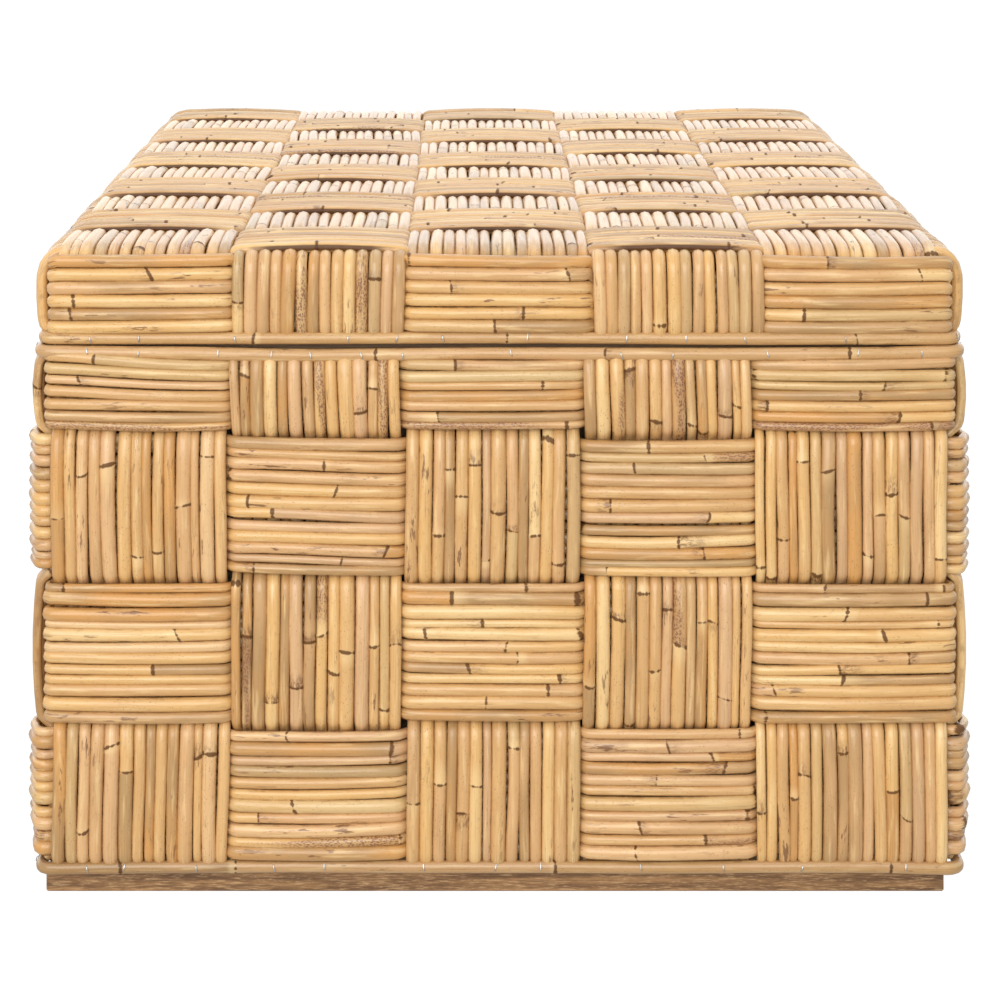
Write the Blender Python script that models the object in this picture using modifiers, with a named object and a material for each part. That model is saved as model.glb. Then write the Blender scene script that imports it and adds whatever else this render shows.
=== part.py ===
"""Woven rattan storage trunk with a hinged lid.

A wooden carcass (floor, posts, rails and thin lining panels) stands on a recessed plinth. Bundles of
rattan sticks are woven over and under each other around it: four weft bands run round the body, and a
warp set runs up each of its four sides. The lid is a framed board with strands over its top in both
directions. Two butt hinges join the lid to the right-hand long side, and two folding stays hold it open.

Metres, +Z up, origin at the bottom centre. The front is -Y and the hinges are at +X.
"""

import math

import bmesh
import bpy
from mathutils import Matrix, Vector

# Overall layout: the middle surface of the weave, halfway between its outer and inner layers.
WEAVE_HALF_X = 0.299
WEAVE_HALF_Y = 0.399
LID_TOP_Z = 0.4165
CORNER_RADIUS = 0.012
LID_EDGE_RADIUS = 0.0085
LID_INSET = 0.002
ROW_EDGES = (0.0232, 0.1112, 0.2077, 0.3031, 0.3525)

# Where neighbouring bundles part, as shares of a side's width, starting from the front's left end.
BODY_BORDERS_X = (0.0, 0.2032, 0.3943, 0.5908, 0.7800, 1.0)
LID_BORDERS_X = (0.0, 0.2032, 0.3970, 0.6000, 0.7925, 1.0)
BORDERS_Y = tuple(i / 10 for i in range(11))

# Woven bundles, each modelled as one flat strip.
LAYER_OFFSET = 0.004
STRIP_THICKNESS = 0.0072
CROSSING_GAP = 0.014
STRIP_END_LENGTH = 0.0085
STRIP_END_OFFSET = -0.0055
STRIP_END_THICKNESS = 0.0042
BATTEN_HEIGHT = 0.0045
BATTEN_THICKNESS = 0.0034

# Rims: single thick sticks along the edges of the weave.
RIM_RADIUS = 0.0042
RIM_SIDES = 8
RIM_CORNER_RADIUS = 0.016
BOTTOM_RIM_Z = 0.0190
BOTTOM_RIM_OFFSET = -0.0005
TOP_RIM_Z = 0.3568
LID_RIM_Z = 0.3660
UPPER_RIM_OFFSET = 0.0015

# Carcass.
FIT_GAP = 0.0003
PLINTH_HALF_X = 0.2960
PLINTH_SHIFT_X = -0.0030
PLINTH_HALF_Y = 0.3968
PLINTH_HEIGHT = 0.0145
PLINTH_WIDTH = 0.030
CARCASS_HALF_X = 0.2895
CARCASS_HALF_Y = 0.3895
FLOOR_THICKNESS = 0.009
POST_SIZE = 0.020
CARCASS_TOP_Z = 0.3612
BOTTOM_RAIL_HEIGHT = 0.020
TOP_RAIL_HEIGHT = 0.030
LINING_THICKNESS = 0.004
WOOD_BEVEL = 0.001

# Lid frame.
LID_RAIL_BOTTOM_Z = 0.3650
LID_RAIL_TOP_Z = 0.3985
LID_BOARD_THICKNESS = 0.009
LID_BOARD_INSET = 0.003

# Butt hinges.
HINGE_X = 0.3095
HINGE_Z = 0.3631
HINGE_PLACES_Y = (-0.25, 0.25)
HINGE_LENGTH = 0.060
HINGE_MIDDLE_KNUCKLE = 0.0200
KNUCKLE_GAP = 0.0006
KNUCKLE_RADIUS = 0.0033
KNUCKLE_BORE = 0.0016
HINGE_PIN_RADIUS = 0.0015
LEAF_THICKNESS = 0.0013
LEAF_INNER_X = 0.2755
LEAF_OUTER_X = 0.3055
LUG_OUTER_X = 0.3071
ROUND_SIDES = 24

# Folding stays: a parallelogram of the hinge line, the two pivots and the elbow.
STAY_ARM_WIDTH = 0.012
STAY_ARM_THICKNESS = 0.002
STAY_BODY_PIVOT = (HINGE_X - 0.072, HINGE_Z - 0.150)
STAY_LID_PIVOT = (HINGE_X - 0.170, HINGE_Z + 0.018)
STAY_ELBOW = (
    STAY_BODY_PIVOT[0] + STAY_LID_PIVOT[0] - HINGE_X,
    STAY_BODY_PIVOT[1] + STAY_LID_PIVOT[1] - HINGE_Z,
)
STAY_STUD_RADIUS = 0.0030
STAY_HOLE_RADIUS = 0.0033
STAY_PLATE_SIZE = 0.030
STAY_PLATE_THICKNESS = 0.002
STAY_LAYER_GAP = 0.0005

RATTAN = ((0.62, 0.42, 0.21), 0.45, 0.0)
RIM_RATTAN = ((0.58, 0.38, 0.18), 0.42, 0.0)
PLINTH_WOOD = ((0.38, 0.22, 0.11), 0.5, 0.0)
FRAME_WOOD = ((0.50, 0.34, 0.19), 0.6, 0.0)
LINING_PLY = ((0.42, 0.29, 0.17), 0.6, 0.0)
STEEL = ((0.55, 0.53, 0.50), 0.35, 1.0)


def empty_scene():
    for item in list(bpy.data.objects):
        bpy.data.objects.remove(item, do_unlink=True)


def new_collection(name):
    collection = bpy.data.collections.new(name)
    bpy.context.scene.collection.children.link(collection)
    return collection


def make_material(name, finish):
    colour, roughness, metallic = finish
    material = bpy.data.materials.new(name)
    material.use_nodes = True
    shader = material.node_tree.nodes["Principled BSDF"]
    shader.inputs["Base Color"].default_value = (*colour, 1.0)
    shader.inputs["Roughness"].default_value = roughness
    shader.inputs["Metallic"].default_value = metallic
    return material


def add_object(name, mesh, finish):
    item = bpy.data.objects.new(name, mesh)
    TRUNK.objects.link(item)
    mesh.materials.clear()
    mesh.materials.append(make_material(name, finish))
    return item


def mesh_from(bm, name):
    bmesh.ops.recalc_face_normals(bm, faces=bm.faces)
    mesh = bpy.data.meshes.new(name)
    bm.to_mesh(mesh)
    bm.free()
    return mesh


def box_mesh(name, low, high):
    low = Vector(low)
    high = Vector(high)
    bm = bmesh.new()
    place = Matrix.Translation((low + high) / 2) @ Matrix.Diagonal((*(high - low), 1.0))
    bmesh.ops.create_cube(bm, size=1.0, matrix=place)
    return mesh_from(bm, name)


def board(name, low, high, finish, bevel=WOOD_BEVEL):
    """A rectangular wooden piece with softened edges."""
    item = add_object(name, box_mesh(name, low, high), finish)
    if bevel:
        modifier = item.modifiers.new("soft_edges", "BEVEL")
        modifier.width = bevel
        modifier.segments = 1
    return item


def cylinder_mesh(name, radius, start_y, end_y, centre):
    """A cylinder along Y, centred on the point (x, z)."""
    bm = bmesh.new()
    turn = Matrix.Rotation(math.pi / 2, 4, "X")
    middle = Vector((centre[0], (start_y + end_y) / 2, centre[1]))
    bmesh.ops.create_cone(
        bm,
        cap_ends=True,
        segments=ROUND_SIDES,
        radius1=radius,
        radius2=radius,
        depth=abs(end_y - start_y),
        matrix=Matrix.Translation(middle) @ turn,
    )
    return mesh_from(bm, name)


def combine(item, tool_meshes, operation):
    """Apply exact Booleans of one object with each tool mesh in turn."""
    for tool_mesh in tool_meshes:
        tool = bpy.data.objects.new("tool", tool_mesh)
        tool.hide_render = True
        tool.display_type = "WIRE"
        CUTTERS.objects.link(tool)
        modifier = item.modifiers.new(operation.lower(), "BOOLEAN")
        modifier.operation = operation
        modifier.solver = "EXACT"
        modifier.object = tool
        bpy.context.view_layer.update()
        graph = bpy.context.evaluated_depsgraph_get()
        mesh = bpy.data.meshes.new_from_object(item.evaluated_get(graph))
        item.modifiers.clear()
        item.data = mesh
        bpy.data.objects.remove(tool, do_unlink=True)
    return item


def shade_round(item):
    item.data.shade_smooth()
    item.data.set_sharp_from_angle(angle=math.radians(35))


# ---------------------------------------------------------------- woven strips


def section(point, normal, across, width, thickness=STRIP_THICKNESS):
    """The four corners of a strip's cross-section at one place along it."""
    side = across * (width / 2)
    out = normal * (thickness / 2)
    return [point + out + side, point + out - side, point - out - side, point - out + side]


def add_loft(bm, sections, closed):
    rings = [[bm.verts.new(corner) for corner in corners] for corners in sections]
    following = rings[1:] + (rings[:1] if closed else [])
    for ring, after in zip(rings, following):
        for a in range(len(ring)):
            b = (a + 1) % len(ring)
            bm.faces.new((ring[a], ring[b], after[b], after[a]))
    if not closed:
        bm.faces.new(rings[0])
        bm.faces.new(list(reversed(rings[-1])))


def layer(is_over):
    return LAYER_OFFSET if is_over else -LAYER_OFFSET


def weft_is_over(cell, row):
    return (cell + row) % 2 == 0


def faces_round(inset=0.0, borders_x=BODY_BORDERS_X):
    """The four sides in order: middle, outward normal, direction and the bundles' borders along it."""
    x, y = WEAVE_HALF_X - inset, WEAVE_HALF_Y - inset
    across = tuple(x * (2 * share - 1) for share in borders_x)
    back = tuple(-edge for edge in reversed(across))
    depth = tuple(y * (2 * share - 1) for share in BORDERS_Y)
    return {
        "front": (Vector((0, -y, 0)), Vector((0, -1, 0)), Vector((1, 0, 0)), across),
        "right": (Vector((x, 0, 0)), Vector((1, 0, 0)), Vector((0, 1, 0)), depth),
        "rear": (Vector((0, y, 0)), Vector((0, 1, 0)), Vector((-1, 0, 0)), back),
        "left": (Vector((-x, 0, 0)), Vector((-1, 0, 0)), Vector((0, -1, 0)), depth),
    }


def corner_sections(centre, normal, along, radius, first, last, across, width, steps=3):
    """Sections round a quarter turn, between its two ends, sliding from one layer to the other."""
    made = []
    for step in range(1, steps):
        share = step / steps
        turn = share * math.pi / 2
        outward = normal * math.cos(turn) + along * math.sin(turn)
        offset = first + (last - first) * share
        made.append(section(centre + outward * (radius + offset), outward, across, width))
    return made


def weft_ring(name, row, low, high, faces):
    """One band of sticks right round the trunk, over and under the upright bundles."""
    up = Vector((0, 0, 1))
    height = high - low
    middle = up * ((low + high) / 2)
    ramp = CROSSING_GAP / 2
    sections = []
    cell = 0
    for origin, normal, along, edges in faces.values():
        places = [(edges[0] + CORNER_RADIUS, cell)]
        for border, edge in enumerate(edges[1:-1]):
            places.append((edge - ramp, cell + border))
            places.append((edge + ramp, cell + border + 1))
        places.append((edges[-1] - CORNER_RADIUS, cell + len(edges) - 2))
        for place, at_cell in places:
            offset = layer(weft_is_over(at_cell, row))
            point = origin + along * place + normal * offset + middle
            sections.append(section(point, normal, up, height))
        cell += len(edges) - 1
        centre = origin - normal * CORNER_RADIUS + along * (edges[-1] - CORNER_RADIUS) + middle
        first = layer(weft_is_over(cell - 1, row))
        last = layer(weft_is_over(cell, row))
        sections += corner_sections(centre, normal, along, CORNER_RADIUS, first, last, up, height)
    bm = bmesh.new()
    add_loft(bm, sections, closed=True)
    return add_object(name, mesh_from(bm, name), RATTAN)


def strip_span(column, edges):
    """Where a bundle lies across its side: its middle and its width, clear of the rounded corners."""
    low = edges[column] + CROSSING_GAP / 2
    high = edges[column + 1] - CROSSING_GAP / 2
    if column == 0:
        low = edges[0] + CORNER_RADIUS + FIT_GAP
    if column == len(edges) - 2:
        high = edges[-1] - CORNER_RADIUS - FIT_GAP
    return (low + high) / 2, high - low


def end_places(edge, inward, is_over):
    """A strip's end: flattened against the carcass next to a rim, then out to its own layer."""
    return [
        (edge, STRIP_END_OFFSET, STRIP_END_THICKNESS),
        (edge + inward * BATTEN_HEIGHT, STRIP_END_OFFSET, STRIP_END_THICKNESS),
        (edge + inward * (BATTEN_HEIGHT + STRIP_END_LENGTH), layer(is_over), STRIP_THICKNESS),
    ]


def batten_mesh(name, face, low_z):
    """The thin strip that the bundle ends on one side are stapled to."""
    origin, normal, along, edges = face
    reach = along * (edges[-1] - CORNER_RADIUS - CROSSING_GAP / 2)
    out = normal * (BATTEN_THICKNESS / 2)
    centre = origin + normal * STRIP_END_OFFSET
    corners = [centre + reach + out, centre + reach - out, centre - reach + out, centre - reach - out]
    inset = BATTEN_HEIGHT / 10
    low = Vector((min(c.x for c in corners), min(c.y for c in corners), low_z + inset))
    high = Vector((max(c.x for c in corners), max(c.y for c in corners), low_z + BATTEN_HEIGHT - inset))
    return box_mesh(name, low, high)


def warp_set(name, side, first_cell):
    """The upright bundles of one side of the body, joined by their two stapling battens."""
    face = faces_round()[side]
    origin, normal, along, edges = face
    rows = len(ROW_EDGES) - 1
    ramp = CROSSING_GAP / 2
    bottom = ROW_EDGES[0] + 2 * FIT_GAP
    top = ROW_EDGES[-1] - 2 * FIT_GAP
    bm = bmesh.new()
    for column in range(len(edges) - 1):
        cell = first_cell + column
        middle, width = strip_span(column, edges)
        over = [not weft_is_over(cell, rows - 1 - level) for level in range(rows)]
        places = end_places(bottom, 1, over[0])
        for level in range(1, rows):
            places.append((ROW_EDGES[level] - ramp, layer(over[level - 1]), STRIP_THICKNESS))
            places.append((ROW_EDGES[level] + ramp, layer(over[level]), STRIP_THICKNESS))
        places += reversed(end_places(top, -1, over[-1]))
        sections = []
        for height, offset, thickness in places:
            point = origin + along * middle + normal * offset + Vector((0, 0, height))
            sections.append(section(point, normal, along, width, thickness))
        add_loft(bm, sections, closed=False)
    item = add_object(name, mesh_from(bm, name), RATTAN)
    battens = [
        batten_mesh("low_batten", face, bottom),
        batten_mesh("high_batten", face, top - BATTEN_HEIGHT),
    ]
    return combine(item, battens, "UNION")


def lid_strand_sections(start, end, across, middle, width, borders, over_first, low_z):
    """One bundle up a side of the lid, over its top and down the far side.

    start and end are the middles of the two sides; borders are the places where it changes layer on top.
    """
    outward = start.normalized()
    forward = end.normalized()
    up = Vector((0, 0, 1))
    ramp = CROSSING_GAP / 2
    sections = []
    base = across * middle

    def side_sections(normal, reach, is_over, places):
        for height, offset, thickness in places:
            point = base + normal * (reach + offset) + up * height
            sections.append(section(point, normal, across, width, thickness))

    bend_z = LID_TOP_Z - LID_EDGE_RADIUS
    over = over_first
    side = end_places(low_z, 1, over) + [(bend_z, layer(over), STRIP_THICKNESS)]
    side_sections(outward, start.length, over, side)
    centre = base + outward * (start.length - LID_EDGE_RADIUS) + up * bend_z
    sections += corner_sections(
        centre, outward, up, LID_EDGE_RADIUS, layer(over), layer(not over), across, width
    )
    cells = len(borders) - 1
    for cell in range(cells):
        over = not over
        low = borders[cell] + (ramp if cell else LID_EDGE_RADIUS)
        high = borders[cell + 1] - (ramp if cell < cells - 1 else LID_EDGE_RADIUS)
        for place in (low, high):
            point = base + forward * place + up * (LID_TOP_Z + layer(over))
            sections.append(section(point, up, across, width))
    centre = base + forward * (end.length - LID_EDGE_RADIUS) + up * bend_z
    sections += corner_sections(
        centre, up, forward, LID_EDGE_RADIUS, layer(over), layer(not over), across, width
    )
    over = not over
    side = [(bend_z, layer(over), STRIP_THICKNESS)] + end_places(low_z, 1, over)[::-1]
    side_sections(forward, end.length, over, side)
    return sections


def lid_strands(name, first_side, last_side):
    """All the bundles that cross the lid one way, joined by a batten along each end."""
    faces = faces_round(LID_INSET, LID_BORDERS_X)
    origin, _, along, edges = faces[first_side]
    far_origin = faces[last_side][0]
    borders = faces["right" if first_side == "front" else "front"][3]
    low_z = LID_RIM_Z + RIM_RADIUS + 2 * FIT_GAP
    bm = bmesh.new()
    for column in range(len(edges) - 1):
        middle, width = strip_span(column, edges)
        over_first = column % 2 == 1
        sections = lid_strand_sections(origin, far_origin, along, middle, width, borders, over_first, low_z)
        add_loft(bm, sections, closed=False)
    item = add_object(name, mesh_from(bm, name), RATTAN)
    battens = [
        batten_mesh("near_batten", faces[first_side], low_z),
        batten_mesh("far_batten", faces[last_side], low_z),
    ]
    return combine(item, battens, "UNION")


# ---------------------------------------------------------------- rims


def rim(name, height, offset):
    """A single stick bent round the trunk, as a closed bevelled curve turned into a mesh.

    offset is how far its middle lies outside the body's weave surface.
    """
    half_x = WEAVE_HALF_X + offset
    half_y = WEAVE_HALF_Y + offset
    curve = bpy.data.curves.new(name, "CURVE")
    curve.dimensions = "3D"
    curve.bevel_depth = RIM_RADIUS
    curve.bevel_resolution = 2
    spline = curve.splines.new("POLY")
    spline.use_cyclic_u = True
    points = []
    for corner, (sign_x, sign_y) in enumerate(((1, 1), (-1, 1), (-1, -1), (1, -1))):
        centre = Vector((sign_x * (half_x - RIM_CORNER_RADIUS), sign_y * (half_y - RIM_CORNER_RADIUS), height))
        for step in range(5):
            turn = math.radians(90 * corner + 22.5 * step)
            points.append(centre + RIM_CORNER_RADIUS * Vector((math.cos(turn), math.sin(turn), 0)))
    spline.points.add(len(points) - 1)
    for place, point in zip(spline.points, points):
        place.co = (*point, 1.0)
    guide = bpy.data.objects.new(name + "_curve", curve)
    TRUNK.objects.link(guide)
    bpy.context.view_layer.update()
    graph = bpy.context.evaluated_depsgraph_get()
    mesh = bpy.data.meshes.new_from_object(guide.evaluated_get(graph))
    bpy.data.objects.remove(guide, do_unlink=True)
    bm = bmesh.new()
    bm.from_mesh(mesh)
    bmesh.ops.remove_doubles(bm, verts=bm.verts, dist=0.00001)
    item = add_object(name, mesh_from(bm, name), RIM_RATTAN)
    shade_round(item)
    return item


def hinge_relief(low_z, high_z):
    """Boxes that shave a rim flat where the hinge leaves cross it."""
    reach = HINGE_LENGTH / 2 + 0.002
    return [
        box_mesh(
            "relief",
            (WEAVE_HALF_X - 0.02, place - reach, low_z),
            (WEAVE_HALF_X + 0.02, place + reach, high_z),
        )
        for place in HINGE_PLACES_Y
    ]


def make_rims():
    rim("bottom_rim", BOTTOM_RIM_Z, BOTTOM_RIM_OFFSET)
    rim("top_rim", TOP_RIM_Z, UPPER_RIM_OFFSET)
    lid = rim("lid_rim", LID_RIM_Z, UPPER_RIM_OFFSET - LID_INSET)
    combine(lid, hinge_relief(LID_RIM_Z - 0.02, LID_RAIL_BOTTOM_Z), "DIFFERENCE")


# ---------------------------------------------------------------- carcass


def four_sides(prefix, half_x, half_y, thickness, low_z, high_z, finish, joint=FIT_GAP, bevel=WOOD_BEVEL):
    """Front and rear pieces run full width; left and right pieces fit between them."""
    boards = []
    for side, sign in (("front", -1), ("rear", 1)):
        near, far = sorted((sign * half_y, sign * (half_y - thickness)))
        boards.append(board(f"{prefix}_{side}", (-half_x, near, low_z), (half_x, far, high_z), finish, bevel))
    reach = half_y - thickness - joint
    for side, sign in (("left", -1), ("right", 1)):
        near, far = sorted((sign * half_x, sign * (half_x - thickness)))
        boards.append(board(f"{prefix}_{side}", (near, -reach, low_z), (far, reach, high_z), finish, bevel))
    return boards


def make_plinth():
    """The plinth is nailed on a little to the left of the weave's middle."""
    boards = four_sides("plinth", PLINTH_HALF_X, PLINTH_HALF_Y, PLINTH_WIDTH, 0.0, PLINTH_HEIGHT, PLINTH_WOOD)
    for item in boards:
        item.location.x += PLINTH_SHIFT_X


def rails(prefix, low_z, high_z):
    """Rails of the body frame, each cut to fit between two corner posts."""
    x, y = CARCASS_HALF_X, CARCASS_HALF_Y
    reach_x = x - POST_SIZE - FIT_GAP
    reach_y = y - POST_SIZE - FIT_GAP
    for side, sign in (("front", -1), ("rear", 1)):
        near, far = sorted((sign * y, sign * (y - POST_SIZE)))
        board(f"{prefix}_{side}", (-reach_x, near, low_z), (reach_x, far, high_z), FRAME_WOOD, 0)
    for side, sign in (("left", -1), ("right", 1)):
        near, far = sorted((sign * x, sign * (x - POST_SIZE)))
        board(f"{prefix}_{side}", (near, -reach_y, low_z), (far, reach_y, high_z), FRAME_WOOD, 0)


def make_carcass():
    x, y = CARCASS_HALF_X, CARCASS_HALF_Y
    floor_low = PLINTH_HEIGHT + FIT_GAP
    floor_high = floor_low + FLOOR_THICKNESS
    board("floor_panel", (-x, -y, floor_low), (x, y, floor_high), LINING_PLY, 0)
    low = floor_high + FIT_GAP
    for end, sign_y in (("front", -1), ("rear", 1)):
        for side, sign_x in (("left", -1), ("right", 1)):
            xs = sorted((sign_x * x, sign_x * (x - POST_SIZE)))
            ys = sorted((sign_y * y, sign_y * (y - POST_SIZE)))
            name = f"corner_post_{end}_{side}"
            board(name, (xs[0], ys[0], low), (xs[1], ys[1], CARCASS_TOP_Z), FRAME_WOOD, 0)
    rails("bottom_rail", low, low + BOTTOM_RAIL_HEIGHT)
    rails("top_rail", CARCASS_TOP_Z - TOP_RAIL_HEIGHT, CARCASS_TOP_Z)
    inner_x = x - POST_SIZE - FIT_GAP
    inner_y = y - POST_SIZE - FIT_GAP
    four_sides("lining", inner_x, inner_y, LINING_THICKNESS, low, CARCASS_TOP_Z, LINING_PLY, bevel=0)


def make_body_weave():
    rows = len(ROW_EDGES) - 1
    margin = CROSSING_GAP / 2
    ends = BATTEN_HEIGHT + STRIP_END_LENGTH + 2 * FIT_GAP
    for row in range(rows):
        level = rows - 1 - row
        low = ROW_EDGES[level] + (ends if level == 0 else margin)
        high = ROW_EDGES[level + 1] - (ends if row == 0 else margin)
        weft_ring(f"weft_row_{row + 1}", row, low, high, faces_round())
    first = 0
    for side, (_, _, _, edges) in faces_round().items():
        warp_set(f"warp_{side}", side, first)
        first += len(edges) - 1


# ---------------------------------------------------------------- lid


def make_lid():
    x, y = CARCASS_HALF_X - LID_INSET, CARCASS_HALF_Y - LID_INSET
    low, high = LID_RAIL_BOTTOM_Z, LID_RAIL_TOP_Z
    four_sides("lid_rail", x, y, POST_SIZE, low, high, FRAME_WOOD)
    reach_x = x - LID_BOARD_INSET
    reach_y = y - LID_BOARD_INSET
    bottom = high + FIT_GAP
    top = bottom + LID_BOARD_THICKNESS
    board("lid_board", (-reach_x, -reach_y, bottom), (reach_x, reach_y, top), LINING_PLY, 0)
    weave_low = LID_RIM_Z + RIM_RADIUS + 2 * FIT_GAP + BATTEN_HEIGHT + STRIP_END_LENGTH
    weave_high = LID_TOP_Z - LID_EDGE_RADIUS - FIT_GAP
    weft_ring("lid_weft", 0, weave_low, weave_high, faces_round(LID_INSET, LID_BORDERS_X))
    lid_strands("lid_long_strands", "front", "rear")
    lid_strands("lid_cross_strands", "left", "right")


# ---------------------------------------------------------------- hinges


def leaf(name, place, low_z, high_z, knuckles):
    """A flat leaf with its own knuckles, bored for the pin. Knuckles are (start, end) along Y."""
    half = HINGE_LENGTH / 2
    item = add_object(
        name, box_mesh(name, (LEAF_INNER_X, place - half, low_z), (LEAF_OUTER_X, place + half, high_z)), STEEL
    )
    centre = (HINGE_X, HINGE_Z)
    trim = 0.0001
    for start, end in knuckles:
        lug_low = (LEAF_OUTER_X - 0.001, place + start + trim, low_z + trim)
        lug_high = (LUG_OUTER_X, place + end - trim, high_z - trim)
        lug = box_mesh("lug", lug_low, lug_high)
        barrel = cylinder_mesh("barrel", KNUCKLE_RADIUS, place + start, place + end, centre)
        bore = cylinder_mesh("bore", KNUCKLE_BORE, place + start - 0.001, place + end + 0.001, centre)
        combine(item, [lug, barrel], "UNION")
        combine(item, [bore], "DIFFERENCE")
    shade_round(item)
    return item


def make_hinges():
    half = HINGE_LENGTH / 2
    middle = HINGE_MIDDLE_KNUCKLE / 2
    body_knuckles = ((-half, -middle), (middle, half))
    lid_knuckles = ((-middle + KNUCKLE_GAP, middle - KNUCKLE_GAP),)
    body_low = CARCASS_TOP_Z + FIT_GAP
    lid_high = LID_RAIL_BOTTOM_Z - FIT_GAP
    for end, place in zip(("front", "rear"), HINGE_PLACES_Y):
        leaf(f"hinge_{end}_body_leaf", place, body_low, body_low + LEAF_THICKNESS, body_knuckles)
        leaf(f"hinge_{end}_lid_leaf", place, lid_high - LEAF_THICKNESS, lid_high, lid_knuckles)
        pin_mesh = cylinder_mesh("pin", HINGE_PIN_RADIUS, place - half, place + half, (HINGE_X, HINGE_Z))
        shade_round(add_object(f"hinge_{end}_pin", pin_mesh, STEEL))


# ---------------------------------------------------------------- lid stays


def bar_mesh(name, first, last, low_y, high_y):
    """A flat bar with round ends between two pivots given as (x, z)."""
    a = Vector((first[0], low_y, first[1]))
    b = Vector((last[0], low_y, last[1]))
    along = (b - a).normalized()
    across = Vector((-along.z, 0, along.x))
    steps = ROUND_SIDES // 4
    outline = []
    for centre, sign in ((a, -1), (b, 1)):
        for step in range(steps + 1):
            turn = math.pi * step / steps - math.pi / 2
            outward = along * (sign * math.cos(turn)) + across * (sign * math.sin(turn))
            outline.append(centre + outward * (STAY_ARM_WIDTH / 2))
    bm = bmesh.new()
    face = bm.faces.new([bm.verts.new(point) for point in outline])
    moved = bmesh.ops.extrude_face_region(bm, geom=[face])["geom"]
    verts = [part for part in moved if isinstance(part, bmesh.types.BMVert)]
    bmesh.ops.translate(bm, verts=verts, vec=(0, high_y - low_y, 0))
    return mesh_from(bm, name)


def hole_mesh(pivot, low_y, high_y):
    return cylinder_mesh("hole", STAY_HOLE_RADIUS, low_y - 0.001, high_y + 0.001, pivot)


def stay_layers(sign, wall):
    """Depths of the stay's layers off an end wall: pairs (low, high) along Y, wall face outwards."""
    starts = [STAY_LAYER_GAP]
    for thickness in (STAY_PLATE_THICKNESS, STAY_ARM_THICKNESS):
        starts.append(starts[-1] + thickness + STAY_LAYER_GAP)
    ends = [start + STAY_ARM_THICKNESS for start in starts]
    return [tuple(sorted((sign * (wall - s), sign * (wall - e)))) for s, e in zip(starts, ends)]


def bracket(name, pivot, plate_ys, stud_ys, drop):
    """A small screwed plate with the pivot's stud on it."""
    half = STAY_PLATE_SIZE / 2
    low = (pivot[0] - half, plate_ys[0], pivot[1] - drop)
    high = (pivot[0] + half, plate_ys[1], pivot[1] + drop)
    item = add_object(name, box_mesh(name, low, high), STEEL)
    stud = cylinder_mesh("stud", STAY_STUD_RADIUS, stud_ys[0], stud_ys[1], pivot)
    combine(item, [stud], "UNION")
    shade_round(item)
    return item


def arm(name, first, last, ys, stud_ys=None):
    """A stay arm pivoting on its first end, with a hole at each pivot or a stud at its last one."""
    item = add_object(name, bar_mesh(name, first, last, *ys), STEEL)
    combine(item, [hole_mesh(first, *ys)], "DIFFERENCE")
    if stud_ys:
        stud = cylinder_mesh("stud", STAY_STUD_RADIUS, stud_ys[0], stud_ys[1], last)
        combine(item, [stud], "UNION")
    else:
        combine(item, [hole_mesh(last, *ys)], "DIFFERENCE")
    pivot = Vector((first[0], (ys[0] + ys[1]) / 2, first[1]))
    item.data.transform(Matrix.Translation(-pivot))
    item.location = pivot
    shade_round(item)
    return item


def make_stays():
    wall = CARCASS_HALF_Y - POST_SIZE - FIT_GAP - LINING_THICKNESS
    for end, sign in (("front", -1), ("rear", 1)):
        plate, lower, upper = stay_layers(sign, wall)
        inner_tip = sign * (wall - 3 * (STAY_ARM_THICKNESS + STAY_LAYER_GAP) - STAY_LAYER_GAP)
        plate_face = plate[0] if sign > 0 else plate[1]
        lower_inner = lower[0] if sign > 0 else lower[1]
        lower_middle = (lower[0] + lower[1]) / 2
        plate_middle = (plate[0] + plate[1]) / 2
        body_stud = sorted((plate_middle, lower_inner - sign * STAY_LAYER_GAP / 2))
        bracket(f"stay_{end}_body_bracket", STAY_BODY_PIVOT, plate, body_stud, STAY_PLATE_SIZE / 2)
        rail_face = sign * (CARCASS_HALF_Y - LID_INSET - POST_SIZE - FIT_GAP)
        lid_plate = tuple(sorted((rail_face, rail_face - sign * STAY_PLATE_THICKNESS)))
        lid_plate_middle = sum(lid_plate) / 2
        lid_stud = sorted((lid_plate_middle, inner_tip))
        bracket(f"stay_{end}_lid_bracket", STAY_LID_PIVOT, lid_plate, lid_stud, STAY_PLATE_SIZE / 2.4)
        elbow_stud = sorted((lower_middle, inner_tip))
        arm(f"stay_{end}_lower_arm", STAY_BODY_PIVOT, STAY_ELBOW, lower, elbow_stud)
        arm(f"stay_{end}_upper_arm", STAY_LID_PIVOT, STAY_ELBOW, upper)


empty_scene()
TRUNK = new_collection("wicker_storage_trunk")
CUTTERS = new_collection("cutters")
make_plinth()
make_carcass()
make_body_weave()
make_rims()
make_lid()
make_hinges()
make_stays()
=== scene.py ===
"""Looks of the woven rattan storage trunk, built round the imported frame.

Every visible stick of the weave is its own bent tube. A stick follows a track (a ring round the trunk, an
upright line, or a path up one side of the lid, over its top and down the other) and weaves between the
outer and the inner layer. Sizes and places come from the frame's nodes. Metres, +Z up, front at -Y.
"""

import math

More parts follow.
